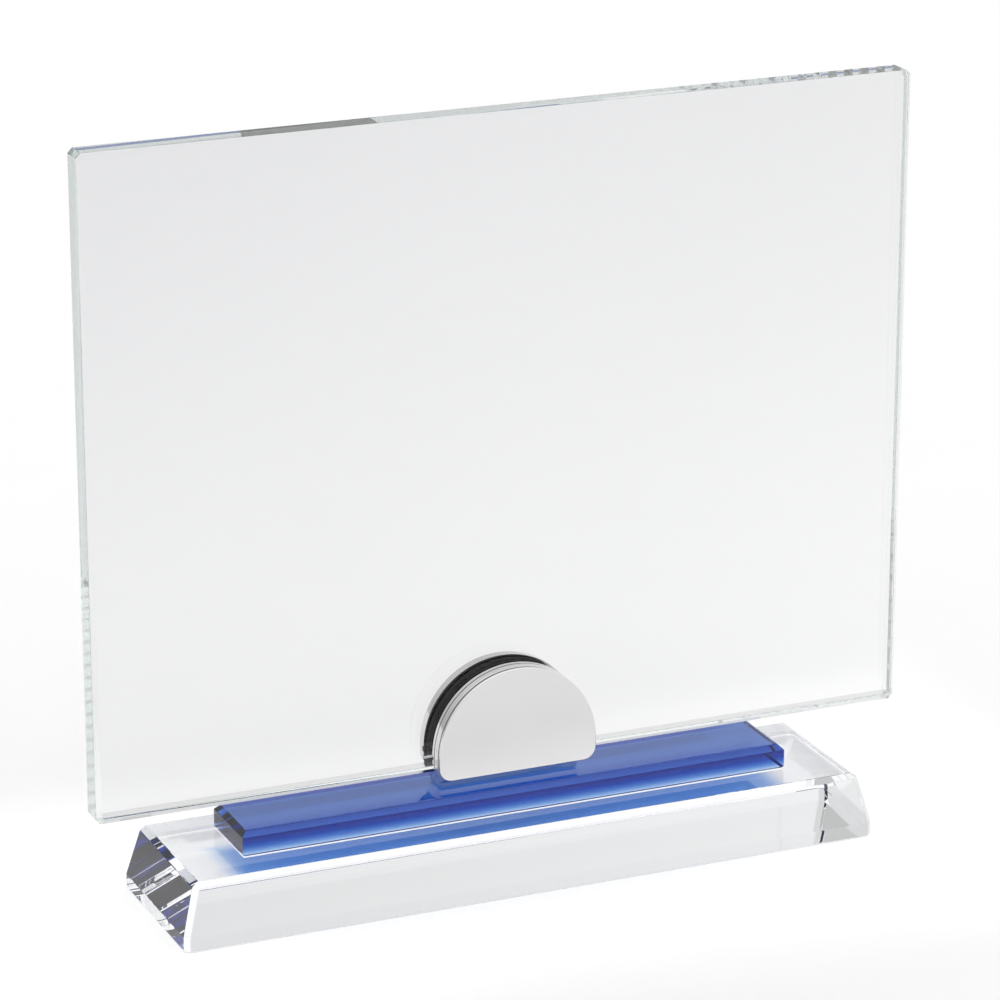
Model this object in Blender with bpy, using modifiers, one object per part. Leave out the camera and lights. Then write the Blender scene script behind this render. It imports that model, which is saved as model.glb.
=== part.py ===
"""Crystal award: a bevelled glass plate held upright by a half-round chrome clip,
standing on a blue crystal bar on a clear crystal base.

Units are metres, +Z is up and the front faces -Y. The origin is the middle of the base's
underside. Run with: blender --background --python part.py
"""

import math

import bmesh
import bpy
from mathutils import Matrix

MM = 0.001

# Gap left between two pieces that are bonded or that rest on each other.
BOND_GAP = 0.3 * MM

# Clear base: a low truncated pyramid on a short upright rim.
BASE_LENGTH = 174.6 * MM
BASE_DEPTH = 42.4 * MM
BASE_TOP_LENGTH = 168.0 * MM
BASE_TOP_DEPTH = 38.4 * MM
BASE_HEIGHT = 15.6 * MM
BASE_RIM = 3.4 * MM
BASE_CHAMFER = 1.2 * MM
BASE_FOOT_CHAMFER = 0.5 * MM

# Blue bar bonded to the middle of the base.
BAR_LENGTH = 138.0 * MM
BAR_DEPTH = 19.4 * MM
BAR_TOP = BASE_HEIGHT + 6.3 * MM
BAR_CHAMFER = 1.3 * MM
BAR_FOOT_CHAMFER = 0.3 * MM

# Display plate.
PLATE_WIDTH = 203.2 * MM
PLATE_HEIGHT = 156.0 * MM
PLATE_THICKNESS = 8.0 * MM
PLATE_BOTTOM = 26.6 * MM
PLATE_CHAMFER = 1.1 * MM

# Clip: two half-round jaws joined by a neck under the plate.
JAW_RADIUS = 19.9 * MM
JAW_CENTRE_Z = 31.4 * MM
JAW_BOTTOM = 25.8 * MM
JAW_CORNER = 3.2 * MM
JAW_EDGE_ROUND = 0.6 * MM
COVER_EDGE_ROUND = 0.4 * MM
JAW_ARC_STEPS = 40
JAW_CORNER_STEPS = 5
FRONT_JAW_FACE = 7.8 * MM
COVER_BACK = 8.1 * MM
COVER_FACE = 8.8 * MM
REAR_JAW_FACE = 7.0 * MM
CHANNEL_HALF = PLATE_THICKNESS / 2 + 0.3 * MM
CHANNEL_FLOOR = 25.35 * MM
NECK_HALF_LENGTH = 17.4 * MM
NECK_SHOULDER_HALF = 5.6 * MM
NECK_SHOULDER_TOP = 27.4 * MM
NECK_SHOULDER_BOTTOM = 25.0 * MM
FOOT_HALF_DEPTH = 3.2 * MM
FOOT_TOP = 23.5 * MM
FOOT_BOTTOM = BAR_TOP + BOND_GAP

# Inside each jaw: a recess for the rubber pad, a groove below it, and a rebate at the
# bottom for the seat channel.
RECESS_RIM = 0.45 * MM
RECESS_BOTTOM = 33.0 * MM
RECESS_FLOOR = 5.15 * MM
GROOVE_BOTTOM = 30.15 * MM
GROOVE_TOP = 31.45 * MM
GROOVE_DEPTH = 0.7 * MM
REBATE_HALF = 4.9 * MM
REBATE_TOP = 29.05 * MM

# Rubber pads and the rubber channel that the plate's lower edge sits in.
PAD_FACE = PLATE_THICKNESS / 2 + 0.2 * MM
PAD_THICKNESS = 0.75 * MM
PAD_CLEARANCE = 0.15 * MM
SEAT_HALF_LENGTH = 16.9 * MM
SEAT_OUTER_HALF = 4.75 * MM
SEAT_INNER_HALF = 4.15 * MM
SEAT_BOTTOM = 25.5 * MM
SEAT_FLOOR = 26.4 * MM
SEAT_TOP = 28.9 * MM

# Grub screws in the rear jaw.
SCREW_X = 9.0 * MM
SCREW_Z = 39.0 * MM
SCREW_RADIUS = 2.0 * MM
SCREW_HOLE_RADIUS = 2.3 * MM
SCREW_TIP = 5.1 * MM
SCREW_HEAD = 6.8 * MM
SOCKET_RADIUS = 1.15 * MM
SOCKET_DEPTH = 0.9 * MM
SCREW_SIDES = 24

COLLECTION = "crystal_award"
CUTTERS = "cutters"


def clear_scene():
    for obj in list(bpy.data.objects):
        bpy.data.objects.remove(obj, do_unlink=True)


def collection(name):
    made = bpy.data.collections.new(name)
    bpy.context.scene.collection.children.link(made)
    return made


def material(name, colour, roughness, metallic=0.0, transmission=0.0):
    made = bpy.data.materials.new(name)
    made.use_nodes = True
    made.diffuse_color = (*colour, 1.0)
    shader = made.node_tree.nodes["Principled BSDF"]
    shader.inputs["Base Color"].default_value = (*colour, 1.0)
    shader.inputs["Roughness"].default_value = roughness
    shader.inputs["Metallic"].default_value = metallic
    shader.inputs["Transmission Weight"].default_value = transmission
    return made


def add_object(name, mesh, group, finish=None):
    made = bpy.data.objects.new(name, mesh)
    group.objects.link(made)
    if finish:
        mesh.materials.append(finish)
    return made


def mesh_from(name, bm):
    bmesh.ops.recalc_face_normals(bm, faces=bm.faces)
    mesh = bpy.data.meshes.new(name)
    bm.to_mesh(mesh)
    bm.free()
    return mesh


def box_bmesh(length, depth, bottom, top):
    """A box centred on X and Y, from bottom to top."""
    bm = bmesh.new()
    bmesh.ops.create_cube(bm, size=1.0)
    bmesh.ops.scale(bm, vec=(length, depth, top - bottom), verts=bm.verts)
    bmesh.ops.translate(bm, vec=(0, 0, (bottom + top) / 2), verts=bm.verts)
    return bm


def weight_bevels(mesh, weight_of):
    """Sets each edge's bevel weight from its two end heights."""
    weights = mesh.attributes.new("bevel_weight_edge", "FLOAT", "EDGE")
    for edge in mesh.edges:
        heights = sorted(mesh.vertices[i].co.z for i in edge.vertices)
        weights.data[edge.index].value = weight_of(*heights)


def chamfer(obj, width, limit="WEIGHT", segments=1):
    bevel = obj.modifiers.new("Chamfer", "BEVEL")
    bevel.width = width
    bevel.segments = segments
    bevel.limit_method = limit
    bevel.harden_normals = False
    return bevel


def make_base(group, finish):
    """A box for the rim, whose top face is drawn up and in to make the sloping sides."""
    bm = box_bmesh(BASE_LENGTH, BASE_DEPTH, 0.0, BASE_RIM)
    top = [face for face in bm.faces if face.normal.z > 0.9]
    raised = bmesh.ops.extrude_face_region(bm, geom=top)
    points = [item for item in raised["geom"] if isinstance(item, bmesh.types.BMVert)]
    bmesh.ops.delete(bm, geom=top, context="FACES")
    slope = (BASE_TOP_LENGTH / BASE_LENGTH, BASE_TOP_DEPTH / BASE_DEPTH, 1.0)
    bmesh.ops.scale(bm, vec=slope, verts=points)
    bmesh.ops.translate(bm, vec=(0, 0, BASE_HEIGHT - BASE_RIM), verts=points)
    mesh = mesh_from("clear_base", bm)

    def weight(low, high):
        if high < BASE_RIM / 2:
            return BASE_FOOT_CHAMFER / BASE_CHAMFER
        rim_line = abs(low - BASE_RIM) + abs(high - BASE_RIM) < 1e-6
        return 0.0 if rim_line else 1.0

    weight_bevels(mesh, weight)
    chamfer(add_object("clear_base", mesh, group, finish), BASE_CHAMFER)


def make_bar(group, finish):
    bottom = BASE_HEIGHT + BOND_GAP
    mesh = mesh_from("blue_bar", box_bmesh(BAR_LENGTH, BAR_DEPTH, bottom, BAR_TOP))
    middle = (bottom + BAR_TOP) / 2
    foot_weight = BAR_FOOT_CHAMFER / BAR_CHAMFER
    weight_bevels(mesh, lambda low, high: foot_weight if high < middle else 1.0)
    chamfer(add_object("blue_bar", mesh, group, finish), BAR_CHAMFER)


def make_plate(group, finish):
    top = PLATE_BOTTOM + PLATE_HEIGHT
    mesh = mesh_from(
        "display_plate", box_bmesh(PLATE_WIDTH, PLATE_THICKNESS, PLATE_BOTTOM, top)
    )
    chamfer(add_object("display_plate", mesh, group, finish), PLATE_CHAMFER, "ANGLE")


def arc_outline(radius, start):
    """(x, z) points of the upper arc, from the angle start to its mirror image."""
    points = []
    for step in range(JAW_ARC_STEPS + 1):
        angle = start + (math.pi - 2 * start) * step / JAW_ARC_STEPS
        points.append((radius * math.cos(angle), JAW_CENTRE_Z + radius * math.sin(angle)))
    return points


def segment_outline(inset, bottom):
    """(x, z) points of an arc closed by a straight chord at the height bottom."""
    radius = JAW_RADIUS - inset
    return arc_outline(radius, math.asin((bottom - JAW_CENTRE_Z) / radius))


def half_round_outline(bottom, corner):
    """(x, z) points of the jaw's outline: an arc, straight sides and a flat bottom."""
    radius = JAW_RADIUS
    points = arc_outline(radius, 0.0)
    for side, start in ((-1, math.pi), (1, 1.5 * math.pi)):
        centre = (side * (radius - corner), bottom + corner)
        for step in range(JAW_CORNER_STEPS + 1):
            angle = start + 0.5 * math.pi * step / JAW_CORNER_STEPS
            x = centre[0] + corner * math.cos(angle)
            z = centre[1] + corner * math.sin(angle)
            points.append((x, z))
    return points


def extrude_along_y(outline, start, end):
    """A closed solid whose (x, z) outline runs from y = start to y = end."""
    bm = bmesh.new()
    ring = [bm.verts.new((x, start, z)) for x, z in outline]
    face = bm.faces.new(ring)
    raised = bmesh.ops.extrude_face_region(bm, geom=[face])
    points = [item for item in raised["geom"] if isinstance(item, bmesh.types.BMVert)]
    bmesh.ops.translate(bm, vec=(0, end - start, 0), verts=points)
    return bm


def extrude_along_x(outline, half_length):
    """A closed solid whose (y, z) outline runs from x = -half_length to +half_length."""
    bm = bmesh.new()
    ring = [bm.verts.new((-half_length, y, z)) for y, z in outline]
    face = bm.faces.new(ring)
    raised = bmesh.ops.extrude_face_region(bm, geom=[face])
    points = [item for item in raised["geom"] if isinstance(item, bmesh.types.BMVert)]
    bmesh.ops.translate(bm, vec=(2 * half_length, 0, 0), verts=points)
    return bm


def cylinder_along_y(radius, start, end, sides):
    bm = bmesh.new()
    bmesh.ops.create_cone(
        bm, cap_ends=True, segments=sides, radius1=radius, radius2=radius, depth=end - start
    )
    turn = Matrix.Rotation(math.radians(90), 4, "X")
    bmesh.ops.transform(bm, matrix=turn, verts=bm.verts)
    bmesh.ops.translate(bm, vec=(0, (start + end) / 2, 0), verts=bm.verts)
    return bm


def helper(name, bm, group, location=(0, 0, 0)):
    made = add_object(name, mesh_from(name, bm), group)
    made.location = location
    made.hide_render = True
    made.display_type = "WIRE"
    return made


def combine(obj, other, operation):
    boolean = obj.modifiers.new(other.name, "BOOLEAN")
    boolean.operation = operation
    boolean.object = other
    boolean.solver = "EXACT"


def round_face_edge(obj, face, width):
    """Rounds the edges that lie in the plane y = face."""
    outer = [abs(v.co.y - face) < 1e-7 for v in obj.data.vertices]
    weights = obj.data.attributes.new("bevel_weight_edge", "FLOAT", "EDGE")
    for edge in obj.data.edges:
        weights.data[edge.index].value = float(all(outer[i] for i in edge.vertices))
    chamfer(obj, width, segments=3)


def make_rear_jaw(group):
    outline = half_round_outline(JAW_BOTTOM, JAW_CORNER)
    blank = extrude_along_y(outline, CHANNEL_HALF, REAR_JAW_FACE)
    jaw = helper("rear_jaw_blank", blank, group)
    round_face_edge(jaw, REAR_JAW_FACE, JAW_EDGE_ROUND)
    return jaw


def make_front_jaw(group):
    outline = half_round_outline(JAW_BOTTOM, JAW_CORNER)
    blank = extrude_along_y(outline, -CHANNEL_HALF, -FRONT_JAW_FACE)
    return helper("front_jaw_blank", blank, group)


def recess_cutter(name, floor, group):
    """Cuts the pad's recess into a jaw, from the channel out to the signed y of its floor."""
    outline = segment_outline(RECESS_RIM, RECESS_BOTTOM)
    return helper(name, extrude_along_y(outline, 0.0, floor), group)


def make_clip_body(group, cutters, finish):
    """One casting: a neck whose foot stands on the bar and which carries both jaws."""
    neck_outline = [
        (-FOOT_HALF_DEPTH, FOOT_BOTTOM),
        (FOOT_HALF_DEPTH, FOOT_BOTTOM),
        (FOOT_HALF_DEPTH, FOOT_TOP),
        (NECK_SHOULDER_HALF, NECK_SHOULDER_BOTTOM),
        (NECK_SHOULDER_HALF, NECK_SHOULDER_TOP),
        (-NECK_SHOULDER_HALF, NECK_SHOULDER_TOP),
        (-NECK_SHOULDER_HALF, NECK_SHOULDER_BOTTOM),
        (-FOOT_HALF_DEPTH, FOOT_TOP),
    ]
    mesh = mesh_from("clip_body", extrude_along_x(neck_outline, NECK_HALF_LENGTH))
    body = add_object("clip_body", mesh, group, finish)
    combine(body, make_front_jaw(cutters), "UNION")
    combine(body, make_rear_jaw(cutters), "UNION")

    channel_top = JAW_CENTRE_Z + JAW_RADIUS + 1.0 * MM
    channel = box_bmesh(3 * JAW_RADIUS, 2 * CHANNEL_HALF, CHANNEL_FLOOR, channel_top)
    combine(body, helper("channel", channel, cutters), "DIFFERENCE")
    for name, floor in (("front", -RECESS_FLOOR), ("rear", RECESS_FLOOR)):
        cutter = recess_cutter(name + "_recess", floor, cutters)
        combine(body, cutter, "DIFFERENCE")
    groove_depth = 2 * (CHANNEL_HALF + GROOVE_DEPTH)
    groove = box_bmesh(3 * JAW_RADIUS, groove_depth, GROOVE_BOTTOM, GROOVE_TOP)
    combine(body, helper("groove", groove, cutters), "DIFFERENCE")
    rebate = box_bmesh(3 * JAW_RADIUS, 2 * REBATE_HALF, CHANNEL_FLOOR, REBATE_TOP)
    combine(body, helper("rebate", rebate, cutters), "DIFFERENCE")
    for name, x in (("left_hole", -SCREW_X), ("right_hole", SCREW_X)):
        hole = cylinder_along_y(SCREW_HOLE_RADIUS, 5.0 * MM, 12.0 * MM, SCREW_SIDES)
        combine(body, helper(name, hole, cutters, (x, 0, SCREW_Z)), "DIFFERENCE")


def make_front_cover(group, finish):
    """The polished half-round cover on the front jaw."""
    outline = half_round_outline(JAW_BOTTOM, JAW_CORNER)
    blank = mesh_from("front_cover", extrude_along_y(outline, -COVER_BACK, -COVER_FACE))
    cover = add_object("front_cover", blank, group, finish)
    round_face_edge(cover, -COVER_FACE, COVER_EDGE_ROUND)


def make_pad(name, side, group, finish):
    """A rubber pad in its jaw's recess; side is -1 for the front and 1 for the rear."""
    outline = segment_outline(RECESS_RIM + PAD_CLEARANCE, RECESS_BOTTOM + PAD_CLEARANCE)
    start = side * PAD_FACE
    end = side * (PAD_FACE + PAD_THICKNESS)
    add_object(name, mesh_from(name, extrude_along_y(outline, start, end)), group, finish)


def make_seat_channel(group, finish):
    """A U-shaped rubber strip around the plate's lower edge."""
    outline = [
        (-SEAT_OUTER_HALF, SEAT_BOTTOM),
        (SEAT_OUTER_HALF, SEAT_BOTTOM),
        (SEAT_OUTER_HALF, SEAT_TOP),
        (SEAT_INNER_HALF, SEAT_TOP),
        (SEAT_INNER_HALF, SEAT_FLOOR),
        (-SEAT_INNER_HALF, SEAT_FLOOR),
        (-SEAT_INNER_HALF, SEAT_TOP),
        (-SEAT_OUTER_HALF, SEAT_TOP),
    ]
    bm = extrude_along_x(outline, SEAT_HALF_LENGTH)
    add_object("seat_channel", mesh_from("seat_channel", bm), group, finish)


def make_grub_screw(name, x, group, cutters, finish):
    bm = cylinder_along_y(SCREW_RADIUS, SCREW_TIP, SCREW_HEAD, SCREW_SIDES)
    screw = add_object(name, mesh_from(name, bm), group, finish)
    screw.location = (x, 0, SCREW_Z)
    socket = cylinder_along_y(SOCKET_RADIUS, SCREW_HEAD - SOCKET_DEPTH, SCREW_HEAD + MM, 6)
    combine(screw, helper(name + "_socket", socket, cutters, (x, 0, SCREW_Z)), "DIFFERENCE")
    screw.data.shade_smooth()
    screw.data.set_sharp_from_angle(angle=math.radians(35))


def main():
    clear_scene()
    parts = collection(COLLECTION)
    cutters = collection(CUTTERS)

    crystal = material("clear_crystal", (0.95, 0.97, 0.97), 0.0, transmission=1.0)
    blue = material("blue_crystal", (0.05, 0.09, 0.55), 0.0, transmission=1.0)
    chrome = material("chrome", (0.80, 0.80, 0.80), 0.08, metallic=1.0)
    rubber = material("black_rubber", (0.015, 0.015, 0.015), 0.6)
    steel = material("black_steel", (0.10, 0.10, 0.11), 0.35, metallic=1.0)

    make_base(parts, crystal)
    make_bar(parts, blue)
    make_plate(parts, crystal)
    make_clip_body(parts, cutters, chrome)
    make_front_cover(parts, chrome)
    make_pad("front_pad", -1, parts, rubber)
    make_pad("rear_pad", 1, parts, rubber)
    make_seat_channel(parts, rubber)
    make_grub_screw("grub_screw_left", -SCREW_X, parts, cutters, steel)
    make_grub_screw("grub_screw_right", SCREW_X, parts, cutters, steel)


main()
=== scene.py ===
import math

import bmesh
import bpy
from mathutils import Matrix, Vector


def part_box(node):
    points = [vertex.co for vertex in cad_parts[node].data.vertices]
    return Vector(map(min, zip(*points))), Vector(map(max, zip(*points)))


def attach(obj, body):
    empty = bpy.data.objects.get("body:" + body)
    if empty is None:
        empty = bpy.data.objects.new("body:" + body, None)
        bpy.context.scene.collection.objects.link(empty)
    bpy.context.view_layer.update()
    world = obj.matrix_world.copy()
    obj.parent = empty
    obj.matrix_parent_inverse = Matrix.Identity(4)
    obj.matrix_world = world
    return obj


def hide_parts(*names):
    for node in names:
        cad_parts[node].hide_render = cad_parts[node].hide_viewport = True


MM = 0.001
NEAR = 1e-6

# Crystal edges: each piece has main chamfers, whose own edges are softened.
PLATE_CHAMFER = 1.1 * MM
PLATE_SOFTENING = 0.10 * MM
BASE_RIM = 3.4 * MM
BASE_TOP_HALF_LENGTH = 84.0 * MM
BASE_TOP_HALF_DEPTH = 19.2 * MM
BASE_CHAMFER = 1.2 * MM
BASE_SOFTENING = 0.12 * MM
BAR_CHAMFER = 1.3 * MM
BAR_FOOT_CHAMFER = 0.45 * MM
BAR_SOFTENING = 0.08 * MM
BOND_MARGIN = 0.3 * MM

# The clip's two half-round jaws.
JAW_RADIUS = 19.9 * MM
JAW_CENTRE = 31.4 * MM
JAW_BOTTOM = 25.8 * MM
JAW_CORNER = 3.2 * MM
JAW_ROUNDING = 0.6 * MM
ARC_STEPS = 96
CORNER_STEPS = 10

# The front cover and the black joint behind it, which lies between the cover and y = SEAM;
# the joint's black is painted shade in the gap between cover and jaw.
COVER_ROUNDING = 0.4 * MM
SEAM = -7.5 * MM
SEAM_ROUNDING = 0.12 * MM
JOINT_INSET = 0.08 * MM
JOINT_CLEARANCE = 0.02 * MM

# The fine groove round the front jaw, from one y to the other.
RING_GROOVE = (-5.65 * MM, -5.35 * MM)
RING_DEPTH = 0.25 * MM

# The clip's neck, which stands on the blue bar.
NECK_HALF_LENGTH = 17.4 * MM
NECK_SOFTENING = 0.15 * MM
FOOT_HALF_DEPTH = 3.2 * MM
FOOT_TOP = 23.5 * MM
SHOULDER_HALF_DEPTH = 5.6 * MM
SHOULDER_BOTTOM = 25.0 * MM
SHOULDER_TOP = 27.4 * MM

# What is cut into the clip.
CHANNEL_HALF = 4.3 * MM
CHANNEL_FLOOR = 25.35 * MM
RECESS_RIM = 0.45 * MM
RECESS_BOTTOM = 33.0 * MM
RECESS_FLOOR = 5.15 * MM
GROOVE_HALF = CHANNEL_HALF + 0.7 * MM
GROOVE_BOTTOM = 30.15 * MM
GROOVE_TOP = 31.45 * MM
REBATE_HALF = 4.9 * MM
REBATE_TOP = 29.05 * MM
SCREW_X = 9.0 * MM
SCREW_Z = 39.0 * MM
HOLE_RADIUS = 2.3 * MM
HOLE_START = 5.0 * MM
HOLE_END = 12.0 * MM
HOLE_SIDES = 48
CUT_REACH = 60.0 * MM

GLASS_IOR = 1.52

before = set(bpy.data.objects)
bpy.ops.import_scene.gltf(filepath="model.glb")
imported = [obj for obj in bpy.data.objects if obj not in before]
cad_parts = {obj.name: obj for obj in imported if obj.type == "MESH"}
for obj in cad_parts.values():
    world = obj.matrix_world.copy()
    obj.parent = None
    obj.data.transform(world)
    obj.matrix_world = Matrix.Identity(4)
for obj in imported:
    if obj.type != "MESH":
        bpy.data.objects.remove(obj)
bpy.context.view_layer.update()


# ---------------------------------------------------------------- node helpers


class Shader:
    """Builds one node tree with short calls."""

    def __init__(self, tree):
        self.tree = tree
        tree.nodes.clear()

    def node(self, kind, **settings):
        made = self.tree.nodes.new(kind)
        for name, value in settings.items():
            setattr(made, name, value)
        return made

    def link(self, source, target):
        self.tree.links.new(source, target)

    def put(self, value, socket):
        if hasattr(value, "is_output"):
            self.link(value, socket)
        else:
            socket.default_value = value

    def math(self, operation, a, b=0.0, c=0.0):
        made = self.node("ShaderNodeMath", operation=operation)
        for value, socket in zip((a, b, c), made.inputs):
            self.put(value, socket)
        return made.outputs[0]

    def spread(self, value, low, high, to_low, to_high, smooth=False):
        made = self.node("ShaderNodeMapRange")
        made.interpolation_type = "SMOOTHSTEP" if smooth else "LINEAR"
        names = ("Value", "From Min", "From Max", "To Min", "To Max")
        for name, item in zip(names, (value, low, high, to_low, to_high)):
            self.put(item, made.inputs[name])
        return made.outputs[0]

    def mix(self, amount, a, b):
        made = self.node("ShaderNodeMix", data_type="RGBA")
        self.put(amount, made.inputs[0])
        self.put(a, made.inputs[6])
        self.put(b, made.inputs[7])
        return made.outputs[2]

    def place(self):
        return self.node("ShaderNodeTexCoord").outputs["Object"]

    def axes(self):
        made = self.node("ShaderNodeSeparateXYZ")
        self.link(self.place(), made.inputs[0])
        return made.outputs

    def noise(self, scale, detail, stretch=(1, 1, 1)):
        mapping = self.node("ShaderNodeMapping")
        mapping.inputs["Scale"].default_value = stretch
        self.link(self.place(), mapping.inputs["Vector"])
        made = self.node("ShaderNodeTexNoise")
        self.link(mapping.outputs[0], made.inputs["Vector"])
        made.inputs["Scale"].default_value = scale
        made.inputs["Detail"].default_value = detail
        return made.outputs["Fac"]

    def bump(self, height, strength, distance):
        made = self.node("ShaderNodeBump")
        made.inputs["Strength"].default_value = strength
        made.inputs["Distance"].default_value = distance
        self.link(height, made.inputs["Height"])
        return made.outputs[0]


def new_material(name):
    made = bpy.data.materials.new(name)
    made.use_nodes = True
    return made, Shader(made.node_tree)


def principled(shader, **inputs):
    """A Principled BSDF on the surface: gives back its node and the output node."""
    node = shader.node("ShaderNodeBsdfPrincipled")
    for name, value in inputs.items():
        shader.put(value, node.inputs[name.replace("_", " ")])
    out = shader.node("ShaderNodeOutputMaterial")
    shader.link(node.outputs[0], out.inputs["Surface"])
    return node, out


def glass(shader, colour, **inputs):
    return principled(
        shader,
        Base_Color=colour,
        Roughness=0.0,
        Transmission_Weight=1.0,
        IOR=GLASS_IOR,
        **inputs,
    )


def absorb(shader, out, colour, density):
    """Fills a glass with a tint that deepens with the way light goes through it."""
    tint = shader.node("ShaderNodeVolumeAbsorption")
    tint.inputs["Color"].default_value = colour
    tint.inputs["Density"].default_value = density
    shader.link(tint.outputs[0], out.inputs["Volume"])


# ------------------------------------------------------------------- materials


def plate_glass():
    """Clear sheet glass with painted shade, a little darker upwards and towards -X."""
    made, s = new_material("plate_glass")
    x, _, z = s.axes()
    height = s.spread(z, 0.03, 0.18, 0.0, 1.0)
    across = s.spread(x, -0.1, 0.1, 1.0, 0.0)
    cloud = s.noise(9.0, 1.0)
    # Painted shade: the glass colour darkens upwards and towards -X, with random cloudiness
    # added on top.
    shade = s.math("MULTIPLY_ADD", height, 0.75, s.math("MULTIPLY", across, 0.25))
    shade = s.math("ADD", shade, s.math("MULTIPLY", s.math("SUBTRACT", cloud, 0.5), 0.12))
    colour = s.mix(shade, (0.975, 0.975, 0.978, 1), (0.785, 0.785, 0.797, 1))
    _, out = glass(s, colour)
    absorb(s, out, (0.3, 0.44, 0.4, 1), 2.0)
    return made


def clear_crystal():
    made, s = new_material("clear_crystal")
    ripple = s.noise(60.0, 1.0)
    glass(s, s.mix(ripple, (0.985, 0.992, 0.998, 1), (0.965, 0.975, 0.985, 1)))
    return made


def blue_crystal():
    """Blue crystal. Its underside is bonded, so light goes straight through that face."""
    made, s = new_material("blue_crystal")
    streak = s.noise(40.0, 2.0, (1, 4, 4))
    colour = s.mix(streak, (0.97, 0.98, 1, 1), (0.93, 0.95, 0.98, 1))
    surface, out = glass(s, colour, Specular_IOR_Level=0.27)
    absorb(s, out, (0.24, 0.515, 0.83, 1), 500.0)
    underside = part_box("blue_bar")[0].z + 0.01 * MM
    mixed = s.node("ShaderNodeMixShader")
    s.link(s.math("LESS_THAN", s.axes()[2], underside), mixed.inputs[0])
    s.link(surface.outputs[0], mixed.inputs[1])
    s.link(s.node("ShaderNodeBsdfTransparent").outputs[0], mixed.inputs[2])
    s.link(mixed.outputs[0], out.inputs["Surface"])
    return made


def optical_bond():
    """The clear adhesive between two crystals: light goes straight through."""
    made, s = new_material("optical_bond")
    through = s.node("ShaderNodeBsdfTransparent")
    out = s.node("ShaderNodeOutputMaterial")
    s.link(through.outputs[0], out.inputs["Surface"])
    return made


def chrome():
    made, s = new_material("polished_chrome")
    fine = s.noise(900.0, 2.0, (1, 1, 6))
    cloud = s.noise(70.0, 2.0)
    rough = s.math("MULTIPLY_ADD", fine, 0.05, 0.07)
    rough = s.math("ADD", rough, s.math("MULTIPLY", cloud, 0.03))
    colour = s.mix(cloud, (0.77, 0.76, 0.765, 1), (0.73, 0.72, 0.725, 1))
    normal = s.bump(fine, 0.04, 0.05 * MM)
    principled(s, Base_Color=colour, Metallic=1.0, Roughness=rough, Normal=normal)
    return made


# Black rubber for the pads and the seat channel. The same black is painted shade in the
# clip's fine groove and in the joint behind the front cover.
def rubber_and_shade():
    made, s = new_material("black_rubber")
    grain = s.noise(2500.0, 3.0)
    rough = s.math("MULTIPLY_ADD", grain, 0.2, 0.5)
    colour = s.mix(grain, (0.010, 0.0095, 0.009, 1), (0.022, 0.021, 0.019, 1))
    normal = s.bump(grain, 0.3, 0.05 * MM)
    principled(s, Base_Color=colour, Roughness=rough, Normal=normal)
    return made


def black_steel():
    made, s = new_material("blackened_steel")
    grain = s.noise(1800.0, 3.0)
    rough = s.math("MULTIPLY_ADD", grain, 0.2, 0.28)
    colour = s.mix(grain, (0.05, 0.05, 0.055, 1), (0.10, 0.10, 0.105, 1))
    normal = s.bump(grain, 0.15, 0.03 * MM)
    principled(s, Base_Color=colour, Metallic=1.0, Roughness=rough, Normal=normal)
    return made


PLATE_GLASS = plate_glass()
CRYSTAL = clear_crystal()
BLUE = blue_crystal()
BOND = optical_bond()
CHROME = chrome()
RUBBER_AND_PAINTED_SHADE = rubber_and_shade()
STEEL = black_steel()


# --------------------------------------------------------------- shape helpers


def finish_mesh(name, bm, materials=(), node=None, smooth_angle=None):
    """Makes an object of the mesh, in place of a CAD node where one is named."""
    bmesh.ops.recalc_face_normals(bm, faces=bm.faces)
    mesh = bpy.data.meshes.new(name)
    bm.to_mesh(mesh)
    bm.free()
    for item in materials:
        mesh.materials.append(item)
    made = bpy.data.objects.new(name, mesh)
    bpy.context.scene.collection.objects.link(made)
    if smooth_angle:
        mesh.shade_smooth()
        mesh.set_sharp_from_angle(angle=math.radians(smooth_angle))
    if node:
        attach(made, "root")
        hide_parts(node)
    return made


def hull(bm, points):
    """A convex solid around the given points."""
    made = [bm.verts.new(point) for point in points]
    result = bmesh.ops.convex_hull(bm, input=made)
    spare = set(result["geom_interior"]) | set(result["geom_unused"])
    loose = [item for item in spare if isinstance(item, bmesh.types.BMVert)]
    bmesh.ops.delete(bm, geom=loose, context="VERTS")
    bmesh.ops.dissolve_limit(
        bm, angle_limit=math.radians(0.5), verts=bm.verts[:], edges=bm.edges[:]
    )


def chamfered(bm, width, segments, chosen=None):
    edges = [e for e in bm.edges if chosen is None or chosen(e)]
    bmesh.ops.bevel(
        bm,
        geom=edges,
        offset=width,
        offset_type="OFFSET",
        segments=segments,
        profile=0.5,
        affect="EDGES",
        clamp_overlap=True,
    )


def box(bm, low, high):
    bmesh.ops.create_cube(bm, size=1.0)
    size = Vector(high) - Vector(low)
    middle = (Vector(high) + Vector(low)) / 2
    bmesh.ops.scale(bm, vec=size, verts=bm.verts)
    bmesh.ops.translate(bm, vec=middle, verts=bm.verts)


def prism(bm, outline, travel):
    """A solid swept from a flat outline along the vector travel."""
    face = bm.faces.new([bm.verts.new(point) for point in outline])
    raised = bmesh.ops.extrude_face_region(bm, geom=[face])
    verts = [item for item in raised["geom"] if isinstance(item, bmesh.types.BMVert)]
    bmesh.ops.translate(bm, vec=travel, verts=verts)


def slab(bm, outline, start, end):
    """A plate whose (x, z) outline runs from y = start to y = end."""
    prism(bm, [(x, start, z) for x, z in outline], (0, end - start, 0))


def arc(radius, start):
    """(x, z) points round the jaws' centre, from the angle start to its mirror image."""
    points = []
    for step in range(ARC_STEPS + 1):
        angle = start + (math.pi - 2 * start) * step / ARC_STEPS
        points.append((radius * math.cos(angle), JAW_CENTRE + radius * math.sin(angle)))
    return points


def segment(radius, bottom):
    """An arc closed by a straight chord."""
    return arc(radius, math.asin((bottom - JAW_CENTRE) / radius))


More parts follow.
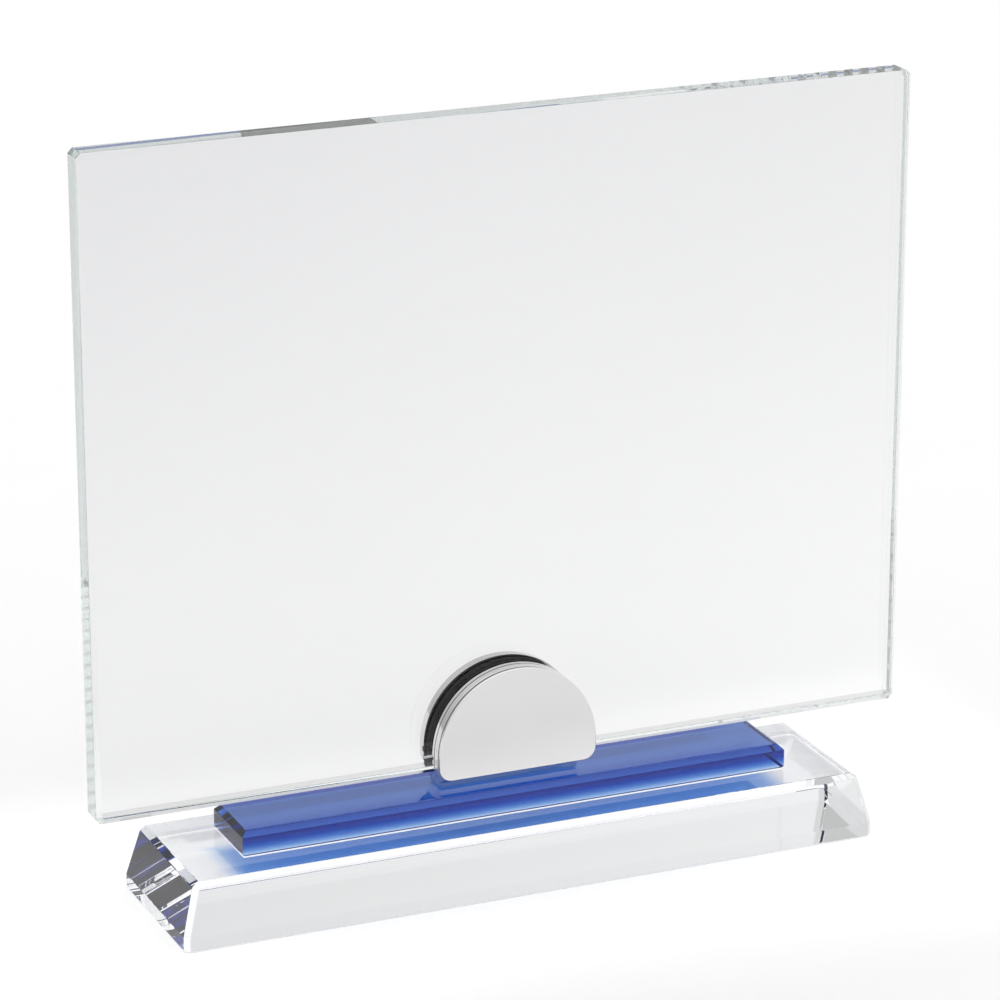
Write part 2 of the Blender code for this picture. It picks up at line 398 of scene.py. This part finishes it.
def half_round(radius, bottom, corner):
    """A half circle on straight sides, with rounded lower corners."""
    points = arc(radius, 0.0)
    for side, start in ((-1, math.pi), (1, 1.5 * math.pi)):
        for step in range(CORNER_STEPS + 1):
            angle = start + 0.5 * math.pi * step / CORNER_STEPS
            x = side * (radius - corner) + corner * math.cos(angle)
            points.append((x, bottom + corner + corner * math.sin(angle)))
    return points


def jaw_outline(inset=0.0):
    return half_round(JAW_RADIUS - inset, JAW_BOTTOM + inset, JAW_CORNER - inset)


def rounded_jaw(inner, face, width):
    """A half-round plate from y = inner to y = face, whose edge at face is rounded."""
    bm = bmesh.new()
    slab(bm, jaw_outline(), inner, face)
    edges = [e for e in bm.edges if all(abs(v.co.y - face) < NEAR for v in e.verts)]
    bmesh.ops.bevel(bm, geom=edges, offset=width, segments=6, profile=0.5, affect="EDGES")
    return bm


def boolean(obj, other, operation):
    """Joins or cuts obj with other, and removes other."""
    step = obj.modifiers.new(operation, "BOOLEAN")
    step.operation = operation
    step.object = other
    step.solver = "EXACT"
    graph = bpy.context.evaluated_depsgraph_get()
    mesh = bpy.data.meshes.new_from_object(obj.evaluated_get(graph))
    obj.modifiers.clear()
    old = obj.data
    obj.data = mesh
    bpy.data.meshes.remove(old)
    bpy.data.objects.remove(other, do_unlink=True)


def cut(obj, bm):
    boolean(obj, finish_mesh("cut", bm), "DIFFERENCE")


def cut_box(obj, half_depth, bottom, top):
    """Cuts a slot along X, centred on Y, from one height to the other."""
    tool = bmesh.new()
    box(tool, (-CUT_REACH, -half_depth, bottom), (CUT_REACH, half_depth, top))
    cut(obj, tool)


# ------------------------------------------------------------ plate, base, bar


def glass_plate():
    low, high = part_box("display_plate")
    bm = bmesh.new()
    box(bm, low, high)
    chamfered(bm, PLATE_CHAMFER, 1)
    chamfered(bm, PLATE_SOFTENING, 2)
    finish_mesh("glass_plate", bm, [PLATE_GLASS], "display_plate")


def bar_footprint():
    low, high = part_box("blue_bar")
    margin = BOND_MARGIN
    return low.x + margin, low.y + margin, high.x - margin, high.y - margin


def cut_footprint(bm, z):
    """Cuts the outline of the bonded area into the flat face at height z."""
    x0, y0, x1, y1 = bar_footprint()
    for co, no in (
        ((x0, 0, 0), (1, 0, 0)),
        ((x1, 0, 0), (1, 0, 0)),
        ((0, y0, 0), (0, 1, 0)),
        ((0, y1, 0), (0, 1, 0)),
    ):
        faces = [f for f in bm.faces if abs(f.calc_center_median().z - z) < NEAR]
        geom = set(faces)
        for face in faces:
            geom |= set(face.edges) | set(face.verts)
        bmesh.ops.bisect_plane(bm, geom=list(geom), plane_co=co, plane_no=no, dist=NEAR / 10)


def assign_bond(bm, z, index):
    """Gives the flat faces at height z under the bar the material of that index."""
    x0, y0, x1, y1 = bar_footprint()
    for face in bm.faces:
        c = face.calc_center_median()
        flat = all(abs(v.co.z - z) < NEAR for v in face.verts)
        if flat and x0 < c.x < x1 and y0 < c.y < y1:
            face.material_index = index


def crystal_base():
    """A short upright rim under four sloping sides."""
    low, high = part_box("clear_base")
    bm = bmesh.new()
    points = []
    for sx in (-1, 1):
        for sy in (-1, 1):
            points.append((sx * high.x, sy * high.y, low.z))
            points.append((sx * high.x, sy * high.y, BASE_RIM))
            points.append((sx * BASE_TOP_HALF_LENGTH, sy * BASE_TOP_HALF_DEPTH, high.z))
    hull(bm, points)

    def main_edge(edge):
        """The top edges, and every edge that rises."""
        lower, upper = sorted(v.co.z for v in edge.verts)
        return lower > BASE_RIM + MM or upper - lower > MM

    chamfered(bm, BASE_CHAMFER, 1, main_edge)
    chamfered(bm, BASE_SOFTENING, 2)
    cut_footprint(bm, high.z)
    assign_bond(bm, high.z, 1)
    finish_mesh("crystal_base", bm, [CRYSTAL, BOND], "clear_base")


def blue_bar():
    low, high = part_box("blue_bar")
    bm = bmesh.new()
    box(bm, low, high)
    chamfered(bm, BAR_CHAMFER, 1, lambda e: all(v.co.z > low.z + MM for v in e.verts))
    chamfered(bm, BAR_FOOT_CHAMFER, 1, lambda e: all(v.co.z < low.z + NEAR for v in e.verts))
    chamfered(bm, BAR_SOFTENING, 2, lambda e: any(v.co.z > low.z + NEAR for v in e.verts))
    finish_mesh("blue_crystal_bar", bm, [BLUE], "blue_bar")


# ------------------------------------------------------------------------ clip


def front_cover():
    """The polished half-round cover bonded to the front jaw, with the black joint, whose
    black is painted shade in the gap.
    """
    low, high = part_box("front_cover")
    bm = rounded_jaw(high.y, low.y, COVER_ROUNDING)
    shell = set(bm.faces)
    slab(bm, jaw_outline(JOINT_INSET), high.y + JOINT_CLEARANCE, SEAM - JOINT_CLEARANCE)
    # The joint faces get the black material: painted shade in the gap between cover and jaw.
    for face in bm.faces:
        face.material_index = 0 if face in shell else 1
    finish_mesh(
        "chrome_front_cover", bm, [CHROME, RUBBER_AND_PAINTED_SHADE], "front_cover", smooth_angle=30
    )


def clip_neck(foot):
    """The neck between the bar and the jaws, whose foot is at height foot."""
    half_outline = [
        (FOOT_HALF_DEPTH, foot),
        (FOOT_HALF_DEPTH, FOOT_TOP),
        (SHOULDER_HALF_DEPTH, SHOULDER_BOTTOM),
        (SHOULDER_HALF_DEPTH, SHOULDER_TOP),
    ]
    outline = half_outline + [(-y, z) for y, z in reversed(half_outline)]
    bm = bmesh.new()
    start = [(-NECK_HALF_LENGTH, y, z) for y, z in outline]
    prism(bm, start, (2 * NECK_HALF_LENGTH, 0, 0))
    below = SHOULDER_BOTTOM + MM
    chamfered(bm, NECK_SOFTENING, 2, lambda e: all(v.co.z < below for v in e.verts))
    return finish_mesh("chrome_clip", bm)


def ring_cutter():
    """A thin ring whose inside is the bottom of the fine groove."""
    outside = bmesh.new()
    slab(outside, half_round(30.0 * MM, 10.0 * MM, 1.0 * MM), *RING_GROOVE)
    ring = finish_mesh("ring", outside)
    core = bmesh.new()
    inside = half_round(JAW_RADIUS - RING_DEPTH, JAW_BOTTOM - MM, 2.0 * MM)
    slab(core, inside, RING_GROOVE[0] - MM, RING_GROOVE[1] + MM)
    cut(ring, core)
    return ring


def screw_hole(x):
    bm = bmesh.new()
    bmesh.ops.create_cone(
        bm,
        cap_ends=True,
        segments=HOLE_SIDES,
        radius1=HOLE_RADIUS,
        radius2=HOLE_RADIUS,
        depth=HOLE_END - HOLE_START,
    )
    bmesh.ops.transform(bm, matrix=Matrix.Rotation(math.pi / 2, 4, "X"), verts=bm.verts)
    bmesh.ops.translate(bm, vec=(x, (HOLE_START + HOLE_END) / 2, SCREW_Z), verts=bm.verts)
    return bm


def in_ring_groove(centre):
    """True for the faces inside the fine groove, which are made black as painted shade."""
    reach = math.hypot(centre.x, max(centre.z - JAW_CENTRE, 0.0))
    sunk = reach < JAW_RADIUS - RING_DEPTH / 5
    between = RING_GROOVE[0] - NEAR < centre.y < RING_GROOVE[1] + NEAR
    return between and sunk and centre.z > JAW_BOTTOM + MM


def chrome_clip():
    """One casting: the neck and both jaws, with everything that is cut into them."""
    low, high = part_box("clip_body")
    body = clip_neck(low.z)
    front_jaw = rounded_jaw(-CHANNEL_HALF, SEAM, SEAM_ROUNDING)
    boolean(body, finish_mesh("jaw", front_jaw), "UNION")
    rear_jaw = rounded_jaw(CHANNEL_HALF, high.y, JAW_ROUNDING)
    boolean(body, finish_mesh("jaw", rear_jaw), "UNION")

    cut_box(body, CHANNEL_HALF, CHANNEL_FLOOR, CUT_REACH)
    for floor in (-RECESS_FLOOR, RECESS_FLOOR):
        recess = bmesh.new()
        slab(recess, segment(JAW_RADIUS - RECESS_RIM, RECESS_BOTTOM), 0.0, floor)
        cut(body, recess)
    cut_box(body, GROOVE_HALF, GROOVE_BOTTOM, GROOVE_TOP)
    boolean(body, ring_cutter(), "DIFFERENCE")
    cut_box(body, REBATE_HALF, CHANNEL_FLOOR, REBATE_TOP)
    for x in (-SCREW_X, SCREW_X):
        cut(body, screw_hole(x))

    mesh = body.data
    mesh.materials.clear()
    mesh.materials.append(CHROME)
    mesh.materials.append(RUBBER_AND_PAINTED_SHADE)
    # The floor of the fine groove gets the black material: painted shade.
    for face in mesh.polygons:
        face.material_index = 1 if in_ring_groove(face.center) else 0
    mesh.shade_smooth()
    mesh.set_sharp_from_angle(angle=math.radians(30))
    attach(body, "root")
    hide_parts("clip_body")


def rubber_pad(name, node):
    low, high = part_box(node)
    bm = bmesh.new()
    slab(bm, segment(high.z - JAW_CENTRE, low.z), low.y, high.y)
    finish_mesh(name, bm, [RUBBER_AND_PAINTED_SHADE], node, smooth_angle=30)


glass_plate()
crystal_base()
blue_bar()
chrome_clip()
front_cover()
rubber_pad("front_rubber_pad", "front_pad")
rubber_pad("rear_rubber_pad", "rear_pad")

for name, item in (
    ("seat_channel", RUBBER_AND_PAINTED_SHADE),
    ("grub_screw_left", STEEL),
    ("grub_screw_right", STEEL),
):
    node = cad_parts[name]
    node.data.materials.clear()
    node.data.materials.append(item)


# ----------------------------------------------------------------------- stage

# The floor gives off some light of its own: under the base, close to it and far from it.
FLOOR_GAP = 0.3 * MM
FLOOR_HALF_SIZE = 4.0
FLOOR_LIFT_UNDER = 0.42
FLOOR_LIFT_NEAR = 0.32
FLOOR_LIFT_FAR = 0.07

# Soft lights and darker sides of the studio: azimuth from +X towards +Y, elevation,
# how narrow it is, and how much it adds to the even light.
EVEN_LIGHT = 0.95
LOBES = (
    (150.0, 4.0, 4.0, -0.6),
    (80.0, 22.0, 10.0, -0.30),
    (15.0, 10.0, 3.0, 0.12),
    (0.0, 90.0, 2.0, 0.35),
    (270.0, 10.0, 3.0, -0.12),
)

CAMERA_PLACE = (-0.3885, -0.8986, 0.4166)
CAMERA_DOWN = 18.46
CAMERA_TURN = -23.33
CAMERA_LENS = 161.1
LIGHT_BOUNCES = 128


def floor_material():
    """White paper that gives off a little light, with a painted blue shadow under the bar,
    in both its colour and its glow.
    """
    made, s = new_material("studio_floor")
    x, y, _ = s.axes()

    def beyond(node):
        """How far a point lies outside a node's footprint."""
        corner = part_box(node)[1]
        out_x = s.math("SUBTRACT", s.math("ABSOLUTE", x), corner.x)
        out_y = s.math("SUBTRACT", s.math("ABSOLUTE", y), corner.y)
        return s.math("MAXIMUM", out_x, out_y)

    # Mask of the painted blue shadow under the bar.
    blue_shadow_mask = s.spread(beyond("blue_bar"), -0.003, 0.004, 1.0, 0.0, smooth=True)
    base = beyond("clear_base")
    inside = s.spread(base, -0.001, 0.002, FLOOR_LIFT_UNDER, FLOOR_LIFT_NEAR, smooth=True)
    away = s.spread(base, 0.002, 0.08, 0.0, FLOOR_LIFT_NEAR - FLOOR_LIFT_FAR, smooth=True)
    lift = s.math("SUBTRACT", inside, away)
    paper = s.noise(30.0, 3.0)
    sheet = s.mix(paper, (0.87, 0.87, 0.87, 1), (0.89, 0.89, 0.89, 1))
    # Painted blue shadow: under the bar the floor is coloured blue and glows blue, standing
    # in for light that comes through the blue bar.
    sheet = s.mix(blue_shadow_mask, sheet, (0.45, 0.75, 0.98, 1))
    glow = s.mix(blue_shadow_mask, (1, 1, 1, 1), (0.0, 0.10, 0.62, 1))
    principled(
        s,
        Base_Color=sheet,
        Roughness=0.9,
        Emission_Color=glow,
        Emission_Strength=lift,
        Specular_IOR_Level=0.1,
    )
    return made


def studio_floor():
    bm = bmesh.new()
    bmesh.ops.create_grid(bm, x_segments=1, y_segments=1, size=FLOOR_HALF_SIZE)
    bmesh.ops.translate(bm, vec=(0, 0, -FLOOR_GAP), verts=bm.verts)
    floor = finish_mesh("floor", bm, [floor_material()])


def studio_light():
    world = bpy.data.worlds.new("studio")
    bpy.context.scene.world = world
    world.use_nodes = True
    s = Shader(world.node_tree)
    way = s.node("ShaderNodeTexCoord").outputs["Generated"]

    def lobe(azimuth, elevation, power):
        """1 towards one direction, falling smoothly to 0 away from it."""
        a, e = math.radians(azimuth), math.radians(elevation)
        dot = s.node("ShaderNodeVectorMath", operation="DOT_PRODUCT")
        s.link(way, dot.inputs[0])
        dot.inputs[1].default_value = (
            math.cos(a) * math.cos(e),
            math.sin(a) * math.cos(e),
            math.sin(e),
        )
        return s.math("POWER", s.math("MAXIMUM", dot.outputs["Value"], 0.0), power)

    level = EVEN_LIGHT
    for azimuth, elevation, power, gain in LOBES:
        level = s.math("MULTIPLY_ADD", lobe(azimuth, elevation, power), gain, level)
    back = s.node("ShaderNodeBackground")
    back.inputs["Color"].default_value = (1, 1, 1, 1)
    s.link(level, back.inputs["Strength"])
    out = s.node("ShaderNodeOutputWorld")
    s.link(back.outputs[0], out.inputs["Surface"])


def camera():
    data = bpy.data.cameras.new("camera")
    data.sensor_width = 36.0
    data.lens = CAMERA_LENS
    data.clip_start = 0.01
    made = bpy.data.objects.new("camera", data)
    made.location = CAMERA_PLACE
    made.rotation_euler = (math.radians(90 - CAMERA_DOWN), 0.0, math.radians(CAMERA_TURN))
    bpy.context.scene.collection.objects.link(made)
    bpy.context.scene.camera = made


studio_floor()
studio_light()
camera()
scene = bpy.context.scene
scene.view_settings.view_transform = "Standard"
scene.cycles.max_bounces = LIGHT_BOUNCES
scene.cycles.transmission_bounces = LIGHT_BOUNCES
scene.cycles.glossy_bounces = LIGHT_BOUNCES
scene.cycles.transparent_max_bounces = 64
